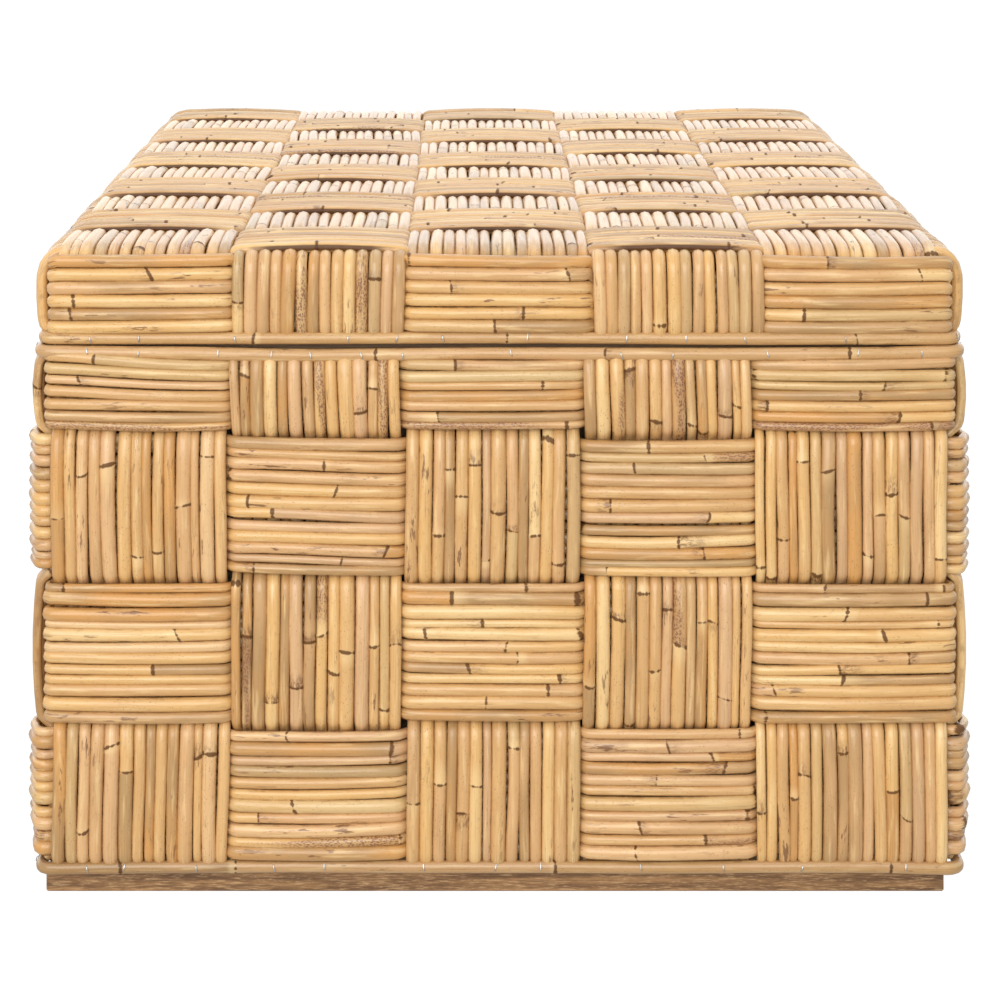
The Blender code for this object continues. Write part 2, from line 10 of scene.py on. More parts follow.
import bpy
import numpy as np
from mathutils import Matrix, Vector


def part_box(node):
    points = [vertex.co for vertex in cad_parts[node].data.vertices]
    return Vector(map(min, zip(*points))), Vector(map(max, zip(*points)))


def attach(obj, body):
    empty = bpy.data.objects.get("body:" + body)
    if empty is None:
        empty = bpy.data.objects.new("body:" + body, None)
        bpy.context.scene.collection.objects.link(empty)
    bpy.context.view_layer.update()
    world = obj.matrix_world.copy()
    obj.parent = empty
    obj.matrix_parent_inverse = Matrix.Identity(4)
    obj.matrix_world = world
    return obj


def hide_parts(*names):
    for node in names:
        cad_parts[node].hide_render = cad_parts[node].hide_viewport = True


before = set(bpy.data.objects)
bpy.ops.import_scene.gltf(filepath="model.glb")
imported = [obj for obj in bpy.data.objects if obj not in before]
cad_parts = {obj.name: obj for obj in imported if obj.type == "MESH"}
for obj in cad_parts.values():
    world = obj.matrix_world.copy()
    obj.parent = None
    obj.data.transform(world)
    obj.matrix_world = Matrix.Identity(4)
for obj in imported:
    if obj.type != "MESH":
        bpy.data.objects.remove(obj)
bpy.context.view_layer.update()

# Where the borders between bundles lie across the front, left to right, as shares of its width.
BODY_BORDERS_X = (0.0, 0.2032, 0.3943, 0.5908, 0.7800, 1.0)
LID_BORDERS_X = (0.0, 0.2032, 0.3970, 0.6000, 0.7925, 1.0)
BORDERS_Y = tuple(i / 10 for i in range(11))

# The CAD strips reach this far either side of the weave's middle surface.
STRIP_REACH = 0.0076
# The lid's sticks lie this much higher than the middle of the CAD strips.
LID_RISE = 0.0012
BODY_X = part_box("weft_row_2")[1].x - STRIP_REACH
BODY_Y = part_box("weft_row_2")[1].y - STRIP_REACH
LID_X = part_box("lid_weft")[1].x - STRIP_REACH
LID_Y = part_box("lid_weft")[1].y - STRIP_REACH
LID_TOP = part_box("lid_long_strands")[1].z - STRIP_REACH + LID_RISE
BODY_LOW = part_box("bottom_rim")[1].z
BODY_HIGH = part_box("top_rim")[0].z
LID_RIM_DROP = 0.0003
LID_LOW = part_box("lid_rim")[1].z - LID_RIM_DROP

# The outer and the inner layer lie this far out and in from the weave's middle surface.
LAYER = 0.0037
CORNER_RADIUS = 0.007
LID_EDGE_RADII = {"front": 0.008, "left": 0.013}

# How far along itself a stick takes to change layers.
DIVE = 0.0055
CORNER_DIVE = 0.0035
TOP_DIVE = 0.0032
END_DIVE = 0.007
EDGE_DIVE = 0.0058
EDGE_SLOPES = {"front": 0.020, "left": 0.007}
# The share of the lid's rounded edge that an inner strand follows before it comes up, and how far before
# the end of that edge an outer one dives.
EDGE_TURNS = {"front": 0.4, "left": 0.15}
EDGE_BACK = 0.0005
# On top of the lid the level bands lie a little back of their cells, so the long sticks dip before them.
LONG_DIP = 0.0085
LONG_RISE = 0.0036
# Stick ends reach this far behind the rims.
END_TUCK = 0.002

# How far the middle of an over cell stands out beyond its ends.
ROW_CROWN = 0.0032
WARP_CROWN = 0.0030
SIDE_CROWN = 0.0020
LONG_CROWN = 0.0014
CROSS_CROWN = 0.0024
# Level sticks that come round a corner into the outer layer stand out beyond it.
CORNER_BULGE = 0.0042
CORNER_BULGE_PLACE = 0.016
CORNER_BULGE_LENGTH = 0.012
# The share of that bulge in the lowest stick of all, and how much more each stick above it has.
LOWEST_BULGE = 0.25

# Level bands of the body, from the top down, and the clear height between them.
ROW_STICKS = (7, 12, 12, 11)
ROW_GAP = 0.0028
TOP_ROW_LIFT = 0.0006
ROW_SPREAD = 0.13
# The top band fans out at the front-left corner.
TOP_FAN = 0.006
TOP_FAN_LENGTH = 0.07
# Clear widths beside a bundle: on the body, at a corner, at the lid's corner, and on the lid's top.
COLUMN_GAP = 0.0015
OUTER_GAP = 0.0042
LID_OUTER_GAP = 0.0058
TOP_GAPS = {"front": (0.0006, 0.0006), "left": (0.0036, 0.0002)}
STICK_PITCH = 0.0081

# The band round the lid's side.
LID_SIDE_STICKS = 6
LID_SIDE_SPREAD = 0.08
LID_SIDE_DROP = 0.0004
LID_SIDE_LAYERS = 0.85
LID_SIDE_SQUEEZE = 0.25
LID_CORNER_SQUEEZE = 0.13
LID_STRAND_SPREAD = 0.09
LID_STRAND_FULLNESS = 1.06

# How bundles wander sideways: length of a bend, size. A single stick's own bends are shorter and smaller.
ROW_WANDER = (0.13, 0.0011)
BUNDLE_WANDER = (0.10, 0.0010)
LID_SIDE_WANDER = (0.13, 0.0006)
RIM_WANDER = (0.08, 0.0005)
OWN_LENGTH, OWN_SIZE = 0.6, 0.45

RIM_CORNER = 0.008
RIM_PUSH = 0.0022
BOTTOM_RIM_PUSH = 0.0040
RIM_STEP = 0.011
RIM_SAG_PLACES = (0.12, 0.3, 0.5, 0.7, 0.9)

# Staples: turns round the rim at the bends of the wire, how far each bend stands off the rim, the
# distance from one staple to the next, and what is left free at the two ends of the rim.
STAPLE_TURNS = np.radians((-34, -26, -9, 9, 26, 34))
STAPLE_RISES = np.array((-0.0007, 0.0003, 0.0003, 0.0003, 0.0003, -0.0007))
STAPLE_SPACING = (0.024, 0.075)
STAPLE_MARGINS = (0.03, 0.01)
STAPLE_LEAN = 0.0014
STAPLE_TILT = (-0.2, 0.4)
STAPLE_RADIUS = 0.00038

# Corners of a tube's cross-section, and how flat a stick is.
STICK_SIDES = 10
RIM_SIDES = 14
STAPLE_SIDES = 6
FLATNESS = 0.88
# A stick's thickness changes slowly: length of a change, size.
STICK_SWELL = (0.09, 0.022)
# The thinnest and thickest sticks of a bundle, as shares of the mean, and how fully they fill its width.
THINNEST, THICKEST = 0.68, 1.3
FILLING = (0.484, 0.503)

# The grain coordinate runs round a stick as if every stick had this radius.
GRAIN_RADIUS = 0.004

# Joints ("nodes") along a rattan stick.
JOINT_SPACING = (0.075, 0.24)
# Place beyond the joint, swelling, ring.
JOINT_STEPS = (
    (-0.0028, 0.02, 0.0),
    (-0.0010, 0.06, 0.5),
    (0.0, 0.08, 1.0),
    (0.0010, 0.05, 0.5),
    (0.0028, 0.01, 0.0),
)
JOINT_CLEAR = 0.0052
JOINT_END_CLEAR = 0.006
JOINT_SLANT = 0.65
COLLAR_LENGTHS = (0.007, 0.03)
# Beyond a joint the stick is bleached (above 0) or stained (below 0), with these chances.
COLLARS = (1.0, 0.5, 0.0, -0.6, -1.0)
COLLAR_CHANCES = (0.3, 0.25, 0.15, 0.15, 0.15)
FRESH_SHADE_CHANCE = 0.4
SHADE_DRIFT = 0.1
# The least distance between two cross-sections, and before a ring's end.
SECTION_CLEAR = 0.0004
CLOSING_CLEAR = 0.0005

UP = np.array((0.0, 0.0, 1.0))
ROUND_ORDER = ("front", "right", "rear", "left")
FACE_NORMALS = dict(zip(ROUND_ORDER, np.array(((0.0, -1, 0), (1, 0, 0), (0, 1, 0), (-1, 0, 0)))))
FACE_ALONG = {side: np.cross(UP, FACE_NORMALS[side]) for side in ROUND_ORDER}


# ---- tracks


# An arc longer than this gets four steps, a shorter one two.
LONG_ARC = 0.009


class Track:
    """A smooth path over the weave's middle surface, made of straight lines and arcs."""

    def __init__(self, closed=False):
        self.pieces = []
        self.length = 0.0
        self.closed = closed

    def line(self, start, direction, normal, length):
        self.pieces.append(("line", self.length, length, start, direction, normal, 0.0))
        self.length += length

    def arc(self, centre, first, last, radius, start_turn=0.0, end_turn=math.pi / 2):
        """An arc from the direction first towards the direction last, which are square to each other."""
        length = radius * (end_turn - start_turn)
        self.pieces.append(("arc", self.length, length, centre, (first, last, start_turn), None, radius))
        self.length += length

    def bend_places(self):
        """Extra places inside the arcs, so that bends look round."""
        places = []
        for kind, start, length, *_ in self.pieces:
            if kind == "arc":
                steps = 4 if length > LONG_ARC else 2
                places += list(start + length * np.arange(steps + 1) / steps)
        return places

    def at(self, places):
        """Points and outward normals at distances along the track."""
        points = np.zeros((len(places), 3))
        normals = np.zeros((len(places), 3))
        for kind, start, length, origin, shape, normal, radius in self.pieces:
            last = start + length >= self.length - 1e-9
            inside = (places >= start - 1e-9) & ((places < start + length) | last)
            local = (places[inside] - start)[:, None]
            if kind == "line":
                points[inside] = origin + shape * local
                normals[inside] = normal
            else:
                first, last_way, start_turn = shape
                turn = start_turn + local / radius
                outward = np.cos(turn) * first + np.sin(turn) * last_way
                points[inside] = origin + outward * radius
                normals[inside] = outward
        return points, normals


def borders_along(side, borders_x):
    """Shares of a side's width at which its bundles part, in the order that a ring meets them."""
    if side == "front":
        return borders_x
    if side == "rear":
        return tuple(1.0 - share for share in reversed(borders_x))
    return BORDERS_Y


def ring_track(half_x, half_y, radius, borders_x=BODY_BORDERS_X):
    """Right round the trunk at height zero, starting at the middle of the front-left corner."""
    track = Track(closed=True)
    quarter = math.pi / 4
    boundaries = []
    for side in ROUND_ORDER:
        normal, along = FACE_NORMALS[side], FACE_ALONG[side]
        half, reach = (half_x, half_y) if side in ("front", "rear") else (half_y, half_x)
        boundaries.append(track.length)
        near = normal * (reach - radius) - along * (half - radius)
        far = normal * (reach - radius) + along * (half - radius)
        track.arc(near, -along, normal, radius, quarter, 2 * quarter)
        flat = track.length
        track.line(near + normal * radius, along, normal, 2 * (half - radius))
        boundaries += [flat + 2 * half * share - radius for share in borders_along(side, borders_x)[1:-1]]
        track.arc(far, normal, along, radius, 0.0, quarter)
    boundaries.append(track.length)
    return track, np.array(boundaries)


def upright_track(side, half_x, half_y, low, high):
    """Straight up the middle of one side of the body."""
    normal = FACE_NORMALS[side]
    reach = half_y if side in ("front", "rear") else half_x
    track = Track()
    track.line(normal * reach + UP * low, UP, normal, high - low)
    return track


def lid_track(start_side, half, low, top, radius):
    """Up one side of the lid, over its top and down the far side, in the lid's middle plane."""
    normal = FACE_NORMALS[start_side]
    track = Track()
    rise = top - radius - low
    track.line(normal * half + UP * low, UP, normal, rise)
    track.arc(normal * (half - radius) + UP * (top - radius), normal, UP, radius)
    track.line(normal * (half - radius) + UP * top, -normal, UP, 2 * (half - radius))
    track.arc(-normal * (half - radius) + UP * (top - radius), UP, -normal, radius)
    track.line(-normal * half + UP * (top - radius), -UP, -normal, rise)
    return track


# ---- over and under


# Where a dive gets its stations, as shares of its length.
DIVE_STEPS = (0.3, 0.7, 1.15)
CELL_STEPS = 6
STATION_CLEAR = 0.0012
# How far the middle of an under cell sinks, as a share of an over cell's crown.
UNDER_SHARE = 0.1


class Weave:
    """Which layer a bundle is in along its track: cells between boundaries, alternately over and under."""

    def __init__(self, boundaries, first_over, reaches, crown):
        self.boundaries = np.asarray(boundaries, float)
        self.first_over = first_over
        self.before, self.after = np.array(reaches, float).T
        self.crown = crown

    def cell(self, places):
        after = np.searchsorted(self.boundaries, places, side="right")
        return np.clip(after - 1, 0, len(self.boundaries) - 2)

    def level(self, places):
        """From 1 in the outer layer to -1 in the inner one."""
        cell = self.cell(places)
        since = (places - self.boundaries[cell]) / self.after[cell]
        until = (self.boundaries[cell + 1] - places) / self.before[cell + 1]
        near = np.clip(np.minimum(since, until), 0.0, 1.0)
        sign = np.where((cell % 2 == 0) == self.first_over, 1.0, -1.0)
        return sign * np.sin(near * math.pi / 2)

    def arch(self, places):
        """From 0 at the ends of an over cell to 1 in its middle; slightly below 0 in an under cell."""
        cell = self.cell(places)
        size = self.boundaries[cell + 1] - self.boundaries[cell]
        share = np.clip((places - self.boundaries[cell]) / size, 0.0, 1.0)
        return 4 * share * (1 - share) * np.where(self.level(places) > 0, 1.0, -UNDER_SHARE)

    def offset(self, places):
        return LAYER * self.level(places) + self.crown * self.arch(places)

    def painted_hollow_shade(self, places):
        """How strongly painted shadow darkens the recess below a raised cell, for all but the first and the
        last cell.
        """
        inside = (places > self.boundaries[1]) & (places < self.boundaries[-2])
        return self.arch(places) * inside

    def stations(self, track):
        """Places along the track that catch the dives, the crowns and the bends."""
        length = track.length
        places = [0.0, length] + track.bend_places()
        for boundary, before, after in zip(self.boundaries, self.before, self.after):
            places += [boundary - before * step for step in DIVE_STEPS]
            places += [boundary + after * step for step in DIVE_STEPS]
        for low, high in zip(self.boundaries[:-1], self.boundaries[1:]):
            places += list(np.linspace(low, high, CELL_STEPS)[1:-1])
        places = np.array(sorted(p for p in places if -1e-9 <= p <= length + 1e-9))
        keep = np.concatenate(([True], np.diff(places) > STATION_CLEAR))
        return places[keep]


# ---- sticks


def eased(places, knots, values):
    """Values at places, easing in and out between those at the knots."""
    at = np.clip(np.searchsorted(knots, places, side="right") - 1, 0, len(knots) - 2)
    share = np.clip((places - knots[at]) / (knots[at + 1] - knots[at]), 0.0, 1.0)
    share = share * share * (3 - 2 * share)
    return values[at] * (1 - share) + values[at + 1] * share


def smooth_noise(rng, places, length, spacing, size):
    """A slow random wander along a stick, the same at both ends so that rings close."""
    count = max(4, int(round(length / spacing)))
    values = rng.normal(0.0, size, count)
    return eased(places, np.linspace(0.0, length, count + 1), np.append(values, values[0]))


def side_by_side(rng, low, high, count, spread=0.16, fullness=1.04):
    """Middles and radii of sticks of unlike thickness that fill a bundle's width."""
    weights = np.clip(rng.normal(1.0, spread, count), THINNEST, THICKEST)
    widths = weights / weights.sum() * (high - low)
    edges = low + np.concatenate(([0.0], np.cumsum(widths)))
    return (edges[:-1] + edges[1:]) / 2, widths * rng.uniform(*FILLING, count) * fullness


class Sticks:
    """Collects sticks into one mesh, with what their material reads at each vertex."""

    def __init__(self, name, seed):
        self.name = name
        self.rng = np.random.default_rng(seed)
        self.points = []
        self.faces = []
        self.values = {key: [] for key in ("grain", "tone", "kind", "ring", "collar", "shadow")}
        self.count = 0

    def joints(self, length):
        """Where this stick's joints lie."""
        places = []
        place = self.rng.uniform(0.0, JOINT_SPACING[1])
        while place < length - JOINT_END_CLEAR:
            if place > JOINT_END_CLEAR:
                places.append(place)
            place += self.rng.uniform(*JOINT_SPACING)
        return np.array(places)

    def stick_table(self, length, stations, closed):
        """Rows of place, swelling, ring, collar and slant: the plain stations and those of the joints."""
        rng = self.rng
        joints = self.joints(length)
        if len(joints):
            gap = np.abs(stations[:, None] - joints[None, :]).min(axis=1)
            keep = gap > JOINT_CLEAR
            keep[0] = keep[-1] = True
            stations = stations[keep]
        swell = 1.0 + smooth_noise(rng, stations, length, *STICK_SWELL)
        rows = [np.column_stack((stations, swell, np.zeros((len(stations), 3))))]
        flip = rng.choice((-1.0, 1.0))
        for joint in joints:
            slant = rng.uniform(-JOINT_SLANT, JOINT_SLANT) * rng.uniform(0.3, 1.0)
            strength = rng.uniform(0.6, 1.0)
            collar = rng.choice(COLLARS, p=COLLAR_CHANCES)
            for step, bulge, ring in JOINT_STEPS:
                beyond = collar if step >= 0 else 0.0
                rows.append([[joint + step * flip, 1.0 + bulge * strength, ring * strength, beyond, slant]])
            far = joint + rng.uniform(*COLLAR_LENGTHS) * flip
            if 0 < far < length and np.abs(far - joints).min() > JOINT_CLEAR:
                rows.append([[far, 1.0, 0.0, 0.0, 0.0]])
        table = np.vstack(rows)
        table = table[(table[:, 0] >= 0) & (table[:, 0] <= length)]
        table = table[np.argsort(table[:, 0])]
        keep = np.concatenate(([True], np.diff(table[:, 0]) > SECTION_CLEAR))
        table = table[keep]
        if closed:
            table = table[table[:, 0] < length - CLOSING_CLEAR]
        return table, joints

    def shades(self, places, joints, tone):
        """Tone and kind along a stick: they change only at joints, and are the same where a ring closes."""
        rng = self.rng
        tones = [rng.uniform(0.0, 1.0) if tone is None else tone]
        kinds = [rng.uniform(0.0, 1.0)]
        for _ in joints:
            if tone is None and rng.uniform() < FRESH_SHADE_CHANCE:
                tones.append(rng.uniform(0.0, 1.0))
                kinds.append(rng.uniform(0.0, 1.0))
            else:
                tones.append(np.clip(tones[-1] + rng.normal(0.0, SHADE_DRIFT), 0, 1))
                kinds.append(kinds[-1])
        tones[-1], kinds[-1] = tones[0], kinds[0]
        at = np.searchsorted(joints, places, side="right") if len(joints) else np.zeros(len(places), int)
        return np.array(tones)[at], np.array(kinds)[at]

    def add(
        self, track, across, radius, stations, offset, lateral, sides=STICK_SIDES, tone=None, shadow=None
    ):
        """One stick: offset, lateral and shadow are functions of the distance along the track."""
        table, joints = self.stick_table(track.length, stations, track.closed)
        place, swell, ring, collar, slant = table.T
        points, normals = track.at(place)
        middle = points + normals * offset(place)[:, None] + across * lateral(place)[:, None]
        marks = {"ring": ring, "collar": collar}
        marks["shadow"] = np.zeros(len(place)) if shadow is None else shadow(place)
        marks["tone"], marks["kind"] = self.shades(place, joints, tone)
        self.tube(middle, normals, radius * swell, place, slant, track.closed, sides, marks)

    def tube(self, middle, normals, radii, place, slant, closed, sides, marks):
        """A tube along middle; slant leans its cross-sections, marks are what the material reads."""
        rng = self.rng
        if closed:
            tangents = np.roll(middle, -1, axis=0) - np.roll(middle, 1, axis=0)
        else:
            tangents = np.gradient(middle, axis=0)
        tangents /= np.linalg.norm(tangents, axis=1)[:, None]
        side = np.cross(tangents, normals)
        side /= np.linalg.norm(side, axis=1)[:, None]
        outward = np.cross(side, tangents)
        angles = np.arange(sides) * (2 * math.pi / sides)
        phase = rng.uniform(0.0, 2 * math.pi)
        lean = slant[:, None] * np.cos(angles - phase)[None, :] * radii[:, None]
        vertices = (
            middle[:, None, :]
            + outward[:, None, :] * (np.cos(angles)[None, :, None] * radii[:, None, None] * FLATNESS)
            + side[:, None, :] * (np.sin(angles)[None, :, None] * radii[:, None, None])
            + tangents[:, None, :] * lean[:, :, None]
        )
        count = len(middle)
        base = self.count
        rows = count if closed else count - 1
        around = np.arange(sides)[None, :]
        after = (around + 1) % sides
        here = np.arange(rows)[:, None] * sides
        onward = ((np.arange(rows) + 1) % count)[:, None] * sides
        quads = np.stack((here + around, here + after, onward + after, onward + around), axis=-1)
        self.faces += (quads.reshape(-1, 4) + base).tolist()
        if not closed:
            self.faces.append([base + i for i in reversed(range(sides))])
            self.faces.append([base + (count - 1) * sides + i for i in range(sides)])
        self.points.append(vertices.reshape(-1, 3))
        grain = np.empty((count, sides, 3))
        grain[:, :, 0] = place[:, None] + rng.uniform(0.0, 100.0)
        grain[:, :, 1] = np.cos(angles)[None, :] * GRAIN_RADIUS
        grain[:, :, 2] = np.sin(angles)[None, :] * GRAIN_RADIUS
        self.values["grain"].append(grain.reshape(-1, 3))
        for key, mark in marks.items():
            self.values[key].append(np.repeat(mark, sides))
        self.count += count * sides

    def finish(self, body, slot, material, replaced=()):
        mesh = bpy.data.meshes.new(self.name)
        mesh.from_pydata(np.vstack(self.points).tolist(), [], self.faces)
        for key, parts in self.values.items():
            data = np.concatenate(parts)
            kind = "FLOAT_VECTOR" if data.ndim == 2 else "FLOAT"
            attribute = mesh.attributes.new(key, kind, "POINT")
            attribute.data.foreach_set("vector" if data.ndim == 2 else "value", data.ravel())
        mesh.shade_smooth()
        mesh.set_sharp_from_angle(angle=math.radians(60))
        mesh.materials.append(material)
        piece = bpy.data.objects.new(self.name, mesh)
        bpy.context.scene.collection.objects.link(piece)
        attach(piece, body)
        if replaced:
            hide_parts(*replaced)


# ---- the weave


def weft_over(cell, row):
    return (cell + row) % 2 == 0


def bundle_wander(rng, count, length, spacing, size):
    """How a whole bundle and each of its sticks shift sideways along their length."""
    together = rng.integers(0, 2**31)
    own = rng.integers(0, 2**31, count)

    def shift(index, places):
        common = smooth_noise(np.random.default_rng(together), places, length, spacing, size)
        own_rng = np.random.default_rng(own[index])
        return common + smooth_noise(own_rng, places, length, spacing * OWN_LENGTH, size * OWN_SIZE)

    return shift


def corner_drop(distance, radius):
    """How far the surface falls away at a distance into a rounded edge."""
    into = np.clip(distance, 0.0, radius)
    return radius - np.sqrt(radius * radius - into * into)


class RimLine:
    """How far a rim lies above its usual height, by the share of the way round."""

    def __init__(self, seed, corner, sag_low, sag_high):
        rng = np.random.default_rng(seed)
        knots = []
        length = 4 * (BODY_X + BODY_Y)
        start = 0.0
        for side in ROUND_ORDER:
            span = 2 * (BODY_X if side in ("front", "rear") else BODY_Y)
            knots.append((start / length, corner))
            for place in RIM_SAG_PLACES:
                knots.append(((start + place * span) / length, rng.uniform(sag_low, sag_high)))
            start += span
        knots.append((1.0, corner))
        self.places, self.heights = np.array(knots).T

    def at(self, share):
        return eased(share, self.places, self.heights)


def row_edges():
    """Heights at which the body's level bands part, from the top down."""
    rows = [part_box(f"weft_row_{row + 1}") for row in range(len(ROW_STICKS))]
    between = [(upper[0].z + lower[1].z) / 2 for upper, lower in zip(rows, rows[1:])]
    return [BODY_HIGH] + between + [BODY_LOW]


def corner_cells():
    """Which of a ring's boundaries lie on the trunk's corners."""
    across, along = len(BODY_BORDERS_X) - 1, len(BORDERS_Y) - 1
    return np.cumsum([0, across, along, across, along])


def ring_reaches(boundaries):
    """How fast a ring's sticks dive at each boundary: sharply at the corners."""
    corners = corner_cells()
    return [(CORNER_DIVE,) * 2 if index in corners else (DIVE,) * 2 for index in range(len(boundaries))]


def build_body_weft(material, edges, top_line):
    """The level bands that run right round the body."""
    track, boundaries = ring_track(BODY_X, BODY_Y, CORNER_RADIUS)
    last_row = len(ROW_STICKS) - 1
    for row, sticks in enumerate(ROW_STICKS):
        pieces = Sticks(f"body_weft_{row + 1}", 100 + row)
        high = edges[row] - (ROW_GAP if row else -TOP_ROW_LIFT)
        low = edges[row + 1] + (ROW_GAP if row < last_row else 0.0)
        weave = Weave(boundaries, weft_over(0, row), ring_reaches(boundaries), ROW_CROWN)
        middles, radii = side_by_side(pieces.rng, low, high, sticks, ROW_SPREAD)
        shift = bundle_wander(pieces.rng, sticks, track.length, *ROW_WANDER)
        stations = weave.stations(track)
        for index in range(sticks):
            # The lowest sticks of all come in to meet the bottom rim.
            fullness = min(1.0, LOWEST_BULGE * (index + 1)) if row == last_row else 1.0

            def offset(s, weave=weave, fullness=fullness):
                from_corner = np.abs(s[:, None] - boundaries[corner_cells()][None, :]).min(axis=1)
                bulge = np.exp(-(((from_corner - CORNER_BULGE_PLACE) / CORNER_BULGE_LENGTH) ** 2))
                sideways = np.abs(track.at(s)[1][:, 0]) * np.clip(weave.level(s), 0.0, 1.0)
                return weave.offset(s) + CORNER_BULGE * fullness * bulge * sideways

            def height(s, i=index, first=row == 0):
                if not first:
                    return middles[i] + shift(i, s)
                # The top band follows the rim, and fans out upwards at the front-left corner.
                from_corner = np.minimum(s, track.length - s)
                fan = TOP_FAN * np.exp(-((from_corner / TOP_FAN_LENGTH) ** 2))
                follow = top_line.at(s / track.length) + fan
                return middles[i] + shift(i, s) + follow * (middles[i] - low) / (high - low)

            pieces.add(track, UP, radii[index], stations, offset, height)
        pieces.finish("base", "rattan_weave", material, (f"weft_row_{row + 1}",))


def bundle_span(column, borders, half, gaps, outer_gap):
    """The stretch across a side that the bundle in a column fills; gaps are its low and high margins."""
    low = half * (2 * borders[column] - 1) + (gaps[0] if column else outer_gap)
    high = half * (2 * borders[column + 1] - 1) - (gaps[1] if column < len(borders) - 2 else outer_gap)
    return low, high


def add_bundle(pieces, track, across, weave, span, half_across, spread=0.16, fullness=1.04, paints_recess_shadow=False):
    """The sticks of one bundle, side by side, falling away where they come to a rounded corner."""
    count = max(2, int(round((span[1] - span[0]) / STICK_PITCH)))
    middles, radii = side_by_side(pieces.rng, *span, count, spread, fullness)
    shift = bundle_wander(pieces.rng, count, track.length, *BUNDLE_WANDER)
    stations = weave.stations(track)
    for index in range(count):
        drop = corner_drop(abs(middles[index]) - (half_across - CORNER_RADIUS), CORNER_RADIUS)
        pieces.add(
            track,
            across,
            radii[index],
            stations,
            lambda s, d=drop: weave.offset(s) - d,
            lambda s, i=index: middles[i] + shift(i, s),
            # Painted shadow below the bundle's first stick, where its cells are raised.
            shadow=weave.painted_hollow_shade if paints_recess_shadow and index == 0 else None,
        )


def build_body_warps(material, edges):
    """The upright bundles of the body's four sides."""
    low, high = edges[-1] - END_TUCK, edges[0] + END_TUCK
    boundaries = np.array([0.0] + [edge - low for edge in reversed(edges[1:-1])] + [high - low])
    reaches = [(END_DIVE,) * 2] + [(DIVE,) * 2] * (len(boundaries) - 2) + [(END_DIVE,) * 2]
    bottom_row = len(ROW_STICKS) - 1
    first = 0
    for side in ROUND_ORDER:
        borders = borders_along(side, BODY_BORDERS_X)
        half = BODY_X if side in ("front", "rear") else BODY_Y
        track = upright_track(side, BODY_X, BODY_Y, low, high)
        pieces = Sticks(f"body_warp_{side}", 200 + first)
        for column in range(len(borders) - 1):
            weave = Weave(boundaries, not weft_over(first + column, bottom_row), reaches, WARP_CROWN)
            span = bundle_span(column, borders, half, (COLUMN_GAP, COLUMN_GAP), OUTER_GAP)
            add_bundle(pieces, track, FACE_ALONG[side], weave, span, half)
        pieces.finish("base", "rattan_weave", material, (f"warp_{side}",))
        first += len(borders) - 1


def build_lid_weft(material):
    """The band round the lid's side. Where it dives under, its sticks crowd down below the lid's edge."""
    track, boundaries = ring_track(LID_X, LID_Y, CORNER_RADIUS, LID_BORDERS_X)
    weave = Weave(boundaries, True, ring_reaches(boundaries), SIDE_CROWN)
    pieces = Sticks("lid_side_weft", 300)
    low = LID_LOW - LID_SIDE_DROP
    high = LID_TOP + LAYER * LID_SIDE_LAYERS
    middles, radii = side_by_side(pieces.rng, low, high, LID_SIDE_STICKS, LID_SIDE_SPREAD)
    shift = bundle_wander(pieces.rng, LID_SIDE_STICKS, track.length, *LID_SIDE_WANDER)
    stations = weave.stations(track)
    for index in range(LID_SIDE_STICKS):

        def height(s, i=index):
            under = LID_SIDE_SQUEEZE * np.clip(-weave.level(s) * 1.5 - 0.5, 0.0, 1.0)
            sideways = LID_CORNER_SQUEEZE * np.abs(track.at(s)[1][:, 0]) ** 2
            return low + (middles[i] - low) * (1.0 - np.maximum(under, sideways)) + shift(i, s)

        pieces.add(track, UP, radii[index], stations, weave.offset, height)
    pieces.finish("lid", "rattan_weave", material, ("lid_weft",))


def lid_weave(track, side, half, borders, side_over):
    """A strand over the lid: its side cell, its top cells, then its far side cell."""
    radius = LID_EDGE_RADII[side]
    rise = LID_TOP - radius - LID_LOW + END_TUCK
    arc = radius * math.pi / 2
    flat = rise + arc
    cells = len(borders) - 1
    far_over = side_over if cells % 2 else not side_over
    # An outer strand bends right round the edge before it dives; an inner one comes up within the bend.
    first = flat - EDGE_BACK if side_over else rise + arc * EDGE_TURNS[side]
    last = track.length - (flat - EDGE_BACK if far_over else rise + arc * EDGE_TURNS[side])
    boundaries = [0.0, first]
    boundaries += [flat + 2 * half * share - radius for share in borders[1:-1]]
    boundaries += [last, track.length]
    reaches = [(END_DIVE, END_DIVE), (EDGE_DIVE, EDGE_DIVE if side_over else EDGE_SLOPES[side])]
    for border in range(1, cells):
        ends_over = (border % 2 == 1) != side_over
        if side == "front":
            reaches.append((LONG_DIP, LONG_RISE) if ends_over else (LONG_RISE, LONG_RISE))
        else:
            reaches.append((TOP_DIVE, TOP_DIVE))
    reaches += [(EDGE_DIVE if far_over else EDGE_SLOPES[side], EDGE_DIVE), (END_DIVE, END_DIVE)]
    return Weave(boundaries, side_over, reaches, LONG_CROWN if side == "front" else CROSS_CROWN)


